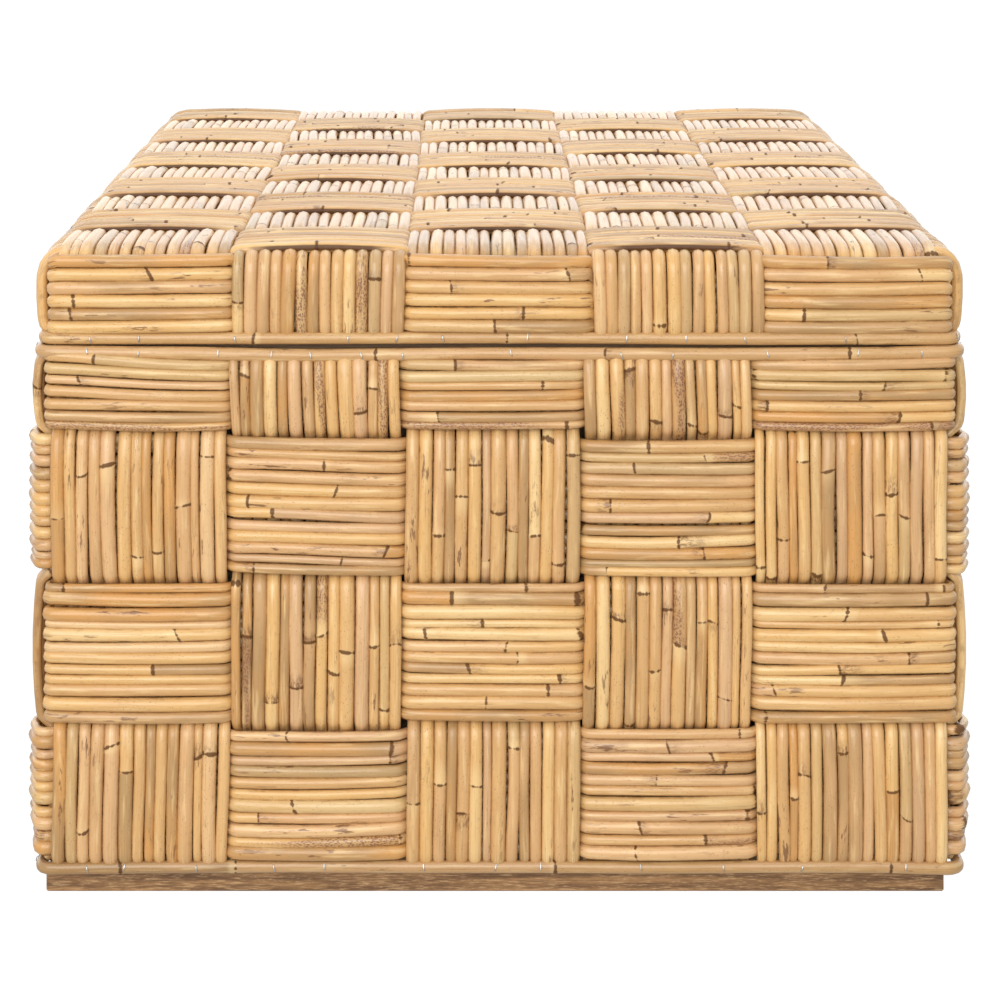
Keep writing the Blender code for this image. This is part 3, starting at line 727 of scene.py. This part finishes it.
def build_lid_strands(material):
    """Bundles that cross the lid front to rear, then bands that cross it left to right."""
    settings = (
        ("lid_long_sticks", "front", LID_Y, LID_X, LID_BORDERS_X, BORDERS_Y, "lid_long_strands", 400),
        ("lid_cross_sticks", "left", LID_X, LID_Y, BORDERS_Y, LID_BORDERS_X, "lid_cross_strands", 500),
    )
    for name, side, half, half_across, borders_across, borders, node, seed in settings:
        track = lid_track(side, half, LID_LOW - END_TUCK, LID_TOP, LID_EDGE_RADII[side])
        across = np.abs(FACE_ALONG[side])
        pieces = Sticks(name, seed)
        for column in range(len(borders_across) - 1):
            side_over = column % 2 == (1 if side == "front" else 0)
            weave = lid_weave(track, side, half, borders, side_over)
            span = bundle_span(column, borders_across, half_across, TOP_GAPS[side], LID_OUTER_GAP)
            spread, fullness = LID_STRAND_SPREAD, LID_STRAND_FULLNESS
            # The bands across the top get painted shadow below their first stick.
            add_bundle(pieces, track, across, weave, span, half_across, spread, fullness, side == "left")
        pieces.finish("lid", "rattan_weave", material, (node,))


# ---- rims and staples


def build_rim(node, body, seed, line, drop, push, tone, material, staple_material):
    """A single wavy stick along an edge of the weave, with the staples that hold it."""
    low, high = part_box(node)
    radius = (high.z - low.z) / 2
    half_y = (high.y - low.y) / 2 - radius + push
    half_x = half_y - (BODY_Y - BODY_X)
    middle_z = high.z - radius - drop
    track, _ = ring_track(half_x, half_y, RIM_CORNER)

    def lateral(s):
        return middle_z + line.at(s / track.length)

    def offset(s):
        return smooth_noise(np.random.default_rng(seed + 7), s, track.length, *RIM_WANDER)

    pieces = Sticks(node + "_stick", seed)
    stations = np.arange(0.0, track.length, RIM_STEP)
    stations = np.sort(np.concatenate((stations, track.bend_places(), [track.length])))
    pieces.add(track, UP, radius, stations, offset, lateral, sides=RIM_SIDES, tone=tone)
    pieces.finish(body, "rattan_rim", material, (node,))

    staples = Sticks(node + "_stick_staples", seed + 3)
    place = STAPLE_MARGINS[0]
    while place < track.length - STAPLE_MARGINS[1]:
        here = np.array([place])
        point, normal = track.at(here)
        centre = point[0] + normal[0] * offset(here)[0] + UP * lateral(here)[0]
        add_staple(staples, centre, normal, radius)
        place += staples.rng.uniform(*STAPLE_SPACING)
    staples.finish(body, "rattan_rim", staple_material)


def add_staple(staples, centre, normal, radius):
    """A short wire bent over the outside of a rim, with its ends in the stick."""
    lean = np.cross(UP, normal[0]) * staples.rng.uniform(-STAPLE_LEAN, STAPLE_LEAN)
    tilt = staples.rng.uniform(*STAPLE_TILT)
    path = []
    for turn, rise in zip(STAPLE_TURNS, STAPLE_RISES):
        outward = normal[0] * math.cos(turn + tilt) + UP * math.sin(turn + tilt)
        path.append(centre + (radius + rise) * outward + lean * turn)
    normals = np.repeat(normal, len(path), axis=0)
    flat = np.zeros(len(path))
    marks = {key: flat for key in ("ring", "collar", "tone", "kind", "shadow")}
    staples.tube(np.array(path), normals, flat + STAPLE_RADIUS, flat, flat, False, STAPLE_SIDES, marks)


# ---- materials


class Nodes:
    """Short calls for building a node tree."""

    def __init__(self, name):
        self.material = bpy.data.materials.new(name)
        self.material.use_nodes = True
        self.tree = self.material.node_tree
        self.shader = self.tree.nodes["Principled BSDF"]

    def add(self, kind, **settings):
        node = self.tree.nodes.new(kind)
        for key, value in settings.items():
            setattr(node, key, value)
        return node

    def link(self, source, target):
        self.tree.links.new(source, target)

    def put(self, socket, value):
        if isinstance(value, bpy.types.NodeSocket):
            self.link(value, socket)
        else:
            socket.default_value = value

    def fill(self, node, values):
        """Sets or links a node's inputs by name."""
        for key, value in values.items():
            self.put(node.inputs[key], value)

    def attribute(self, name, output="Fac"):
        return self.add("ShaderNodeAttribute", attribute_name=name).outputs[output]

    def math(self, operation, a, b=0.0, clamp=False):
        node = self.add("ShaderNodeMath", operation=operation, use_clamp=clamp)
        self.put(node.inputs[0], a)
        self.put(node.inputs[1], b)
        return node.outputs[0]

    def times(self, a, b):
        return self.math("MULTIPLY", a, b)

    def scaled(self, vector, scale, shift=(0.0, 0.0, 0.0)):
        node = self.add("ShaderNodeMapping")
        self.fill(node, {"Vector": vector, "Scale": scale, "Location": shift})
        return node.outputs[0]

    def noise(self, vector, scale=1.0, detail=2.0, rough=0.5):
        node = self.add("ShaderNodeTexNoise")
        self.fill(node, {"Vector": vector, "Scale": scale, "Detail": detail, "Roughness": rough})
        return node.outputs["Fac"]

    def cells(self, vector):
        node = self.add("ShaderNodeTexVoronoi")
        self.fill(node, {"Vector": vector, "Scale": 1.0})
        return node.outputs["Distance"]

    def band(self, value, low, high, start=0.0, end=1.0):
        """value mapped smoothly from low..high to start..end."""
        node = self.add("ShaderNodeMapRange", interpolation_type="SMOOTHSTEP")
        self.fill(node, {"Value": value, "From Min": low, "From Max": high, "To Min": start, "To Max": end})
        return node.outputs["Result"]

    def ramp(self, value, stops):
        node = self.add("ShaderNodeValToRGB")
        self.put(node.inputs["Fac"], value)
        elements = node.color_ramp.elements
        while len(elements) < len(stops):
            elements.new(0.5)
        for element, (place, colour) in zip(elements, stops):
            element.position = place
            element.color = (*colour, 1.0)
        return node.outputs["Color"]

    def mix(self, share, a, b, blend="MIX"):
        node = self.add("ShaderNodeMix", data_type="RGBA", blend_type=blend)
        self.put(node.inputs[0], share)
        for socket, value in ((node.inputs[6], a), (node.inputs[7], b)):
            if isinstance(value, tuple):
                value = (*value, 1.0)
            self.put(socket, value)
        return node.outputs[2]

    def bump(self, height, strength, distance):
        node = self.add("ShaderNodeBump")
        self.fill(node, {"Height": height, "Strength": strength, "Distance": distance})
        self.link(node.outputs[0], self.shader.inputs["Normal"])

    def finish(self, colour, roughness, metallic=0.0, coat=0.0, coat_roughness=0.2, specular=0.5):
        self.fill(self.shader, {"Base Color": colour, "Roughness": roughness, "Metallic": metallic})
        self.fill(self.shader, {"Coat Weight": coat, "Coat Roughness": coat_roughness})
        self.put(self.shader.inputs["Specular IOR Level"], specular)
        return self.material


STICK_TONES = (
    (0.00, (0.77, 0.520, 0.235)),
    (0.16, (0.70, 0.415, 0.150)),
    (0.34, (0.67, 0.400, 0.158)),
    (0.50, (0.60, 0.345, 0.134)),
    (0.66, (0.65, 0.380, 0.168)),
    (0.84, (0.43, 0.250, 0.100)),
    (1.00, (0.61, 0.310, 0.095)),
)
DARK_BROWN = (0.16, 0.060, 0.020)


def rattan(name, painted_shading):
    """Varnished rattan with its skin on: streaks, dark joints, scars and a few sticks of odd colours, plus
    painted shadow and painted shading.
    """
    n = Nodes(name)
    grain = n.attribute("grain", "Vector")
    tone = n.attribute("tone")
    kind = n.attribute("kind")
    ring = n.attribute("ring")
    collar = n.attribute("collar")

    def pattern(along, square, apart=0.0, **settings):
        """Noise stretched along the stick; apart keeps one pattern unlike another."""
        return n.noise(n.scaled(grain, (along, square, square), (apart, 0.0, 0.0)), **settings)

    drift = pattern(16.0, 60.0)
    place = n.math("ADD", tone, n.times(n.math("SUBTRACT", drift, 0.5), 0.5), clamp=True)
    colour = n.ramp(place, STICK_TONES)

    # Odd sticks: khaki ones, pinkish ones and a few mottled maroon ones.
    khaki = n.times(n.band(kind, 0.86, 0.88), n.band(kind, 0.935, 0.92))
    colour = n.mix(n.times(khaki, 0.45), colour, (0.48, 0.34, 0.160))
    colour = n.mix(n.band(kind, 0.13, 0.11, 0.0, 0.5), colour, (0.68, 0.42, 0.225))
    dots = n.cells(n.scaled(grain, (560.0, 900.0, 900.0)))
    patch = pattern(16.0, 120.0, 3.0, detail=1.0)
    maroon = n.times(n.band(kind, 0.940, 0.950), n.band(patch, 0.36, 0.52))
    mottle = n.times(maroon, n.band(dots, 0.62, 0.30, 0.35, 0.9))
    colour = n.mix(mottle, colour, (0.20, 0.075, 0.038))

    # Fine streaks, and slow light and dark along the stick.
    streak = pattern(26.0, 1300.0, detail=3.0, rough=0.65)
    colour = n.mix(n.band(streak, 0.50, 0.74, 0.0, 0.42), colour, (0.31, 0.155, 0.05))
    pale = pattern(34.0, 420.0, 7.0)
    colour = n.mix(n.band(pale, 0.52, 0.76, 0.0, 0.5), colour, (0.84, 0.60, 0.29))
    mottled = pattern(240.0, 520.0, 9.0, detail=3.0, rough=0.6)
    colour = n.mix(n.band(mottled, 0.54, 0.74, 0.0, 0.30), colour, (0.36, 0.19, 0.075))

    # Painted shadow, in patches, along the lines where sticks touch.
    parts = n.add("ShaderNodeSeparateXYZ")
    n.put(parts.inputs[0], grain)
    flank = n.band(n.math("ABSOLUTE", parts.outputs[2]), GRAIN_RADIUS * 0.72, GRAIN_RADIUS * 0.95)
    contact_shadow_zone = pattern(75.0, 90.0, 13.0, detail=3.0, rough=0.7)
    contact_shadow = n.times(flank, n.band(contact_shadow_zone, 0.44, 0.64, 0.0, 0.42))
    colour = n.mix(contact_shadow, colour, (0.26, 0.11, 0.04))

    # Specks, hair-fine ticks and brown scars.
    speck_size = n.scaled(grain, (330.0, 900.0, 900.0), (5.0, 0.0, 0.0))
    speck_zone = pattern(26.0, 160.0, 11.0, detail=1.0)
    specks = n.times(n.band(n.cells(speck_size), 0.20, 0.08), n.band(speck_zone, 0.50, 0.60))
    colour = n.mix(n.times(specks, 0.8), colour, DARK_BROWN)
    scar_shape = pattern(60.0, 330.0, 2.0, detail=3.0, rough=0.65)
    scar_zone = pattern(9.0, 60.0, 17.0, detail=1.0)
    scars = n.times(n.band(scar_shape, 0.57, 0.66), n.band(scar_zone, 0.56, 0.66))
    colour = n.mix(n.times(scars, 0.8), colour, DARK_BROWN)

    # Joints: beyond a dark uneven ring the stick is bleached or stained for a little way.
    colour = n.mix(n.band(collar, 0.0, 1.0, 0.0, 0.5), colour, (0.82, 0.58, 0.28))
    stain_shape = pattern(200.0, 520.0, 4.0, detail=4.0, rough=0.7)
    stain = n.times(n.band(collar, 0.0, -1.0), n.band(stain_shape, 0.42, 0.60, 0.1, 1.0))
    colour = n.mix(n.times(stain, 0.75), colour, DARK_BROWN)
    broken = pattern(70.0, 420.0, detail=3.0)
    dark = n.band(n.times(ring, n.band(broken, 0.3, 0.65, 0.5, 1.25)), 0.28, 0.60)
    colour = n.mix(n.times(dark, 0.92), colour, (0.115, 0.045, 0.012))

    # Painted shadow in the recess below the near stick of a raised band, in near-black brown.
    below = n.band(parts.outputs[2], GRAIN_RADIUS * 0.70, GRAIN_RADIUS * 0.92)
    painted_hollow_shade = n.times(below, n.band(n.attribute("shadow"), 0.15, 0.7))
    colour = n.mix(n.times(painted_hollow_shade, 0.92), colour, (0.07, 0.025, 0.010))
    # Painted shading: a darker copy of this colour for parts that catch more light.
    colour = n.mix(1.0, colour, (painted_shading, painted_shading, painted_shading), "MULTIPLY")

    roughness = n.band(streak, 0.3, 0.8, 0.36, 0.52)
    height = n.math("SUBTRACT", n.times(streak, 0.5), n.times(dark, 0.8))
    n.bump(height, 0.4, 0.0004)
    n.put(n.shader.inputs["Coat IOR"], 1.45)
    # No coat on the dark rings nor in the painted shadow.
    bare = n.times(n.math("MAXIMUM", dark, painted_hollow_shade), 0.8)
    return n.finish(colour, roughness, coat=n.math("SUBTRACT", 1.0, bare), coat_roughness=0.25, specular=0.1)


def wood(name, axis, light, dark, grain_scale=1.0, roughness=0.5, fibre=0.0):
    """Sawn wood with its grain along an axis: long figure, fine pores, pale fibres and slow tone changes."""
    n = Nodes(name)
    place = n.add("ShaderNodeTexCoord").outputs["Object"]

    def stretched(along, square):
        return n.scaled(place, tuple(along if i == axis else square for i in range(3)))

    def darkened(share):
        return tuple(c * share for c in dark)

    shifted = n.add("ShaderNodeVectorMath", operation="ADD")
    n.put(shifted.inputs[0], stretched(5.0 * grain_scale, 120.0 * grain_scale))
    n.put(shifted.inputs[1], n.noise(stretched(5.0, 30.0)))
    figure = n.noise(shifted.outputs[0], detail=4.0, rough=0.6)
    pores = n.noise(stretched(22.0, 900.0))
    slow = n.noise(stretched(1.5, 9.0))
    flecks = n.noise(stretched(95.0, 1000.0), detail=4.0, rough=0.7)
    colour = n.mix(n.band(figure, 0.36, 0.66), light, dark)
    colour = n.mix(n.band(slow, 0.4, 0.7, 0.0, 0.35), colour, darkened(0.62))
    colour = n.mix(n.band(pores, 0.56, 0.70, 0.0, 0.45), colour, darkened(0.4))
    colour = n.mix(n.band(flecks, 0.50, 0.66, 0.0, fibre), colour, (0.60, 0.38, 0.19))
    colour = n.mix(n.band(flecks, 0.48, 0.36, 0.0, fibre), colour, darkened(0.6))
    n.bump(n.math("SUBTRACT", figure, pores), 0.25, 0.0005)
    return n.finish(colour, n.band(figure, 0.3, 0.7, roughness + 0.07, roughness - 0.05), specular=0.4)


def metal(name, colour, dull, roughness):
    """Plated metal with faint brushing and darker tarnish."""
    n = Nodes(name)
    place = n.add("ShaderNodeTexCoord").outputs["Object"]
    brushing = n.noise(n.scaled(place, (90.0, 90.0, 2400.0)), detail=2.0)
    tarnish = n.noise(place, scale=110.0, detail=4.0, rough=0.65)
    tint = n.mix(n.band(tarnish, 0.45, 0.75, 0.0, 0.7), colour, dull)
    n.bump(brushing, 0.12, 0.0002)
    return n.finish(tint, n.band(brushing, 0.3, 0.7, roughness - 0.05, roughness + 0.12), metallic=1.0)


def paint_node(node, material):
    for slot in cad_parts[node].material_slots:
        slot.material = material


# Light and dark of each wood.
PLINTH_TONES = ((0.36, 0.187, 0.072), (0.15, 0.070, 0.025))
RAIL_TONES = ((0.34, 0.21, 0.11), (0.20, 0.115, 0.055))
BOARD_TONES = ((0.50, 0.35, 0.20), (0.33, 0.21, 0.11))


def paint_carcass():
    """Every board, post and rail gets its grain along its length."""
    plinth = [
        wood(f"plinth_{letter}", axis, *PLINTH_TONES, grain_scale=2.0, fibre=0.55)
        for axis, letter in enumerate("xy")
    ]
    rail = [wood(f"rail_{letter}", axis, *RAIL_TONES) for axis, letter in enumerate("xyz")]
    lining = [
        wood(f"lining_{letter}", axis, *BOARD_TONES, grain_scale=0.6, roughness=0.55)
        for axis, letter in enumerate("xy")
    ]
    for side in ROUND_ORDER:
        axis = 0 if side in ("front", "rear") else 1
        paint_node(f"plinth_{side}", plinth[axis])
        paint_node(f"lining_{side}", lining[axis])
        for prefix in ("bottom_rail", "top_rail", "lid_rail"):
            paint_node(f"{prefix}_{side}", rail[axis])
    for end in ("front", "rear"):
        for side in ("left", "right"):
            paint_node(f"corner_post_{end}_{side}", rail[2])
    paint_node("floor_panel", lining[1])
    paint_node("lid_board", lining[1])


def paint_metal():
    brass = metal("antique_brass", (0.62, 0.47, 0.25), (0.20, 0.14, 0.08), 0.32)
    steel = metal("plated_steel", (0.62, 0.61, 0.58), (0.30, 0.28, 0.26), 0.30)
    for end in ("front", "rear"):
        for part in ("body_leaf", "lid_leaf", "pin"):
            paint_node(f"hinge_{end}_{part}", brass)
        for part in ("body_bracket", "lid_bracket", "lower_arm", "upper_arm"):
            paint_node(f"stay_{end}_{part}", steel)


# ---- studio


# Strength of the surround on matt surfaces, in reflections and to the camera.
SOFT_LIGHT = 0.63
SHEEN_LIGHT = 1.5
SEEN_LIGHT = 1.05
FLOOR_HALF = 30.0
# Glow of the floor on the trunk and to the camera.
FLOOR_GLOW = 0.5
FLOOR_GLOW_SEEN = 0.95


def area_light(name, place, target, size, power, colour=(1.0, 1.0, 1.0)):
    data = bpy.data.lights.new(name, "AREA")
    data.shape = "RECTANGLE"
    data.size, data.size_y = size
    data.energy = power
    data.color = colour
    light = bpy.data.objects.new(name, data)
    bpy.context.scene.collection.objects.link(light)
    light.location = place
    aim = Vector(np.array(target) - np.array(place))
    light.rotation_euler = aim.to_track_quat("-Z", "Y").to_euler()


def build_floor():
    """A floor that is white to the camera and throws only part of that light back on the trunk."""
    mesh = bpy.data.meshes.new("studio_floor")
    corners = [(x * FLOOR_HALF, y * FLOOR_HALF, 0) for x, y in ((-1, -1), (1, -1), (1, 1), (-1, 1))]
    mesh.from_pydata(corners, [], [(0, 1, 2, 3)])
    floor = bpy.data.objects.new("studio_floor", mesh)
    bpy.context.scene.collection.objects.link(floor)
    n = Nodes("studio_white")
    mottle = n.noise(n.add("ShaderNodeTexCoord").outputs["Object"], scale=3.0)
    n.finish(n.mix(mottle, (0.14, 0.14, 0.14), (0.16, 0.16, 0.16)), 0.9, specular=0.0)
    n.put(n.shader.inputs["Emission Color"], (1.0, 1.0, 1.0, 1.0))
    seen = n.add("ShaderNodeLightPath").outputs["Is Camera Ray"]
    n.put(n.shader.inputs["Emission Strength"], n.band(seen, 0.0, 1.0, FLOOR_GLOW, FLOOR_GLOW_SEEN))
    mesh.materials.append(n.material)


def build_surround():
    """White all round: soft on matt surfaces, stronger in reflections, and plain white to the camera."""
    world = bpy.data.worlds.new("studio")
    world.use_nodes = True
    tree = world.node_tree
    background = tree.nodes["Background"]
    background.inputs["Color"].default_value = (1.0, 1.0, 1.0, 1.0)
    path = tree.nodes.new("ShaderNodeLightPath")
    strength = tree.nodes.new("ShaderNodeMapRange")
    sheen = tree.nodes.new("ShaderNodeMapRange")
    sheen.inputs["To Min"].default_value = SEEN_LIGHT
    sheen.inputs["To Max"].default_value = SHEEN_LIGHT
    strength.inputs["To Max"].default_value = SOFT_LIGHT
    tree.links.new(path.outputs["Is Glossy Ray"], sheen.inputs["Value"])
    tree.links.new(sheen.outputs["Result"], strength.inputs["To Min"])
    tree.links.new(path.outputs["Is Diffuse Ray"], strength.inputs["Value"])
    tree.links.new(strength.outputs["Result"], background.inputs["Strength"])
    bpy.context.scene.world = world


def shift_at_height(camera, setting, value):
    """Shifts the lens only while the camera stands at this height: it looks straight from elsewhere."""
    curve = camera.data.driver_add(setting)
    for modifier in list(curve.modifiers):
        curve.modifiers.remove(modifier)
    curve.driver.type = "AVERAGE"
    variable = curve.driver.variables.new()
    variable.type = "TRANSFORMS"
    variable.targets[0].id = camera
    variable.targets[0].transform_type = "LOC_Z"
    near, clear = 0.015, 0.030
    for step, shift in ((-clear, 0.0), (-near, value), (near, value), (clear, 0.0)):
        point = curve.keyframe_points.insert(camera.location.z + step, shift)
        point.interpolation = "LINEAR"


def build_camera():
    """A long lens in front of the trunk, looking level and shifted down, so that uprights stay parallel."""
    field = 0.656
    distance = 1.83
    front = BODY_Y + STRIP_REACH
    data = bpy.data.cameras.new("camera")
    data.sensor_width = 36.0
    data.lens = data.sensor_width * distance / field
    camera = bpy.data.objects.new("camera", data)
    bpy.context.scene.collection.objects.link(camera)
    camera.location = (-0.0215, -front - distance, 0.7259)
    camera.rotation_euler = (math.pi / 2, 0.0, 0.0)
    shift_at_height(camera, "shift_x", 0.033)
    shift_at_height(camera, "shift_y", -0.7091)
    bpy.context.scene.camera = camera


weave_material = rattan("rattan_weave", 1.0)
# The rims get darker copies as painted shading; the bottom rim's is darkest, against the floor's glow on it.
shaded_rim_material = rattan("rattan_rim", 0.89)
shaded_bottom_rim_material = rattan("rattan_bottom_rim_shaded", 0.77)
paint_carcass()
paint_metal()
staple_material = metal("staple_wire", (0.50, 0.49, 0.47), (0.16, 0.14, 0.12), 0.40)
top_line = RimLine(31, 0.0005, -0.0020, -0.0002)
bottom_line = RimLine(32, -0.0014, -0.0008, 0.0003)
lid_line = RimLine(33, 0.0, -0.0004, 0.0006)
body_edges = row_edges()
build_body_weft(weave_material, body_edges, top_line)
build_body_warps(weave_material, body_edges)
build_lid_weft(weave_material)
build_lid_strands(weave_material)
for node, body, seed, line, drop, push, tone, material in (
    ("bottom_rim", "base", 600, bottom_line, 0.0, BOTTOM_RIM_PUSH, 0.84, shaded_bottom_rim_material),
    ("top_rim", "base", 620, top_line, 0.0, RIM_PUSH, 0.60, shaded_rim_material),
    ("lid_rim", "lid", 640, lid_line, LID_RIM_DROP, RIM_PUSH, 0.44, shaded_rim_material),
):
    build_rim(node, body, seed, line, drop, push, tone, material, staple_material)
build_floor()
build_surround()
area_light("key", (-1.2, -4.2, 1.6), (0, 0, 0.2), (4.4, 2.8), 149)
area_light("top", (0.3, 0.5, 3.0), (0, 0, 0.3), (2.6, 2.6), 26, (0.92, 0.98, 1.0))
build_camera()
bpy.context.scene.view_settings.view_transform = "Standard"
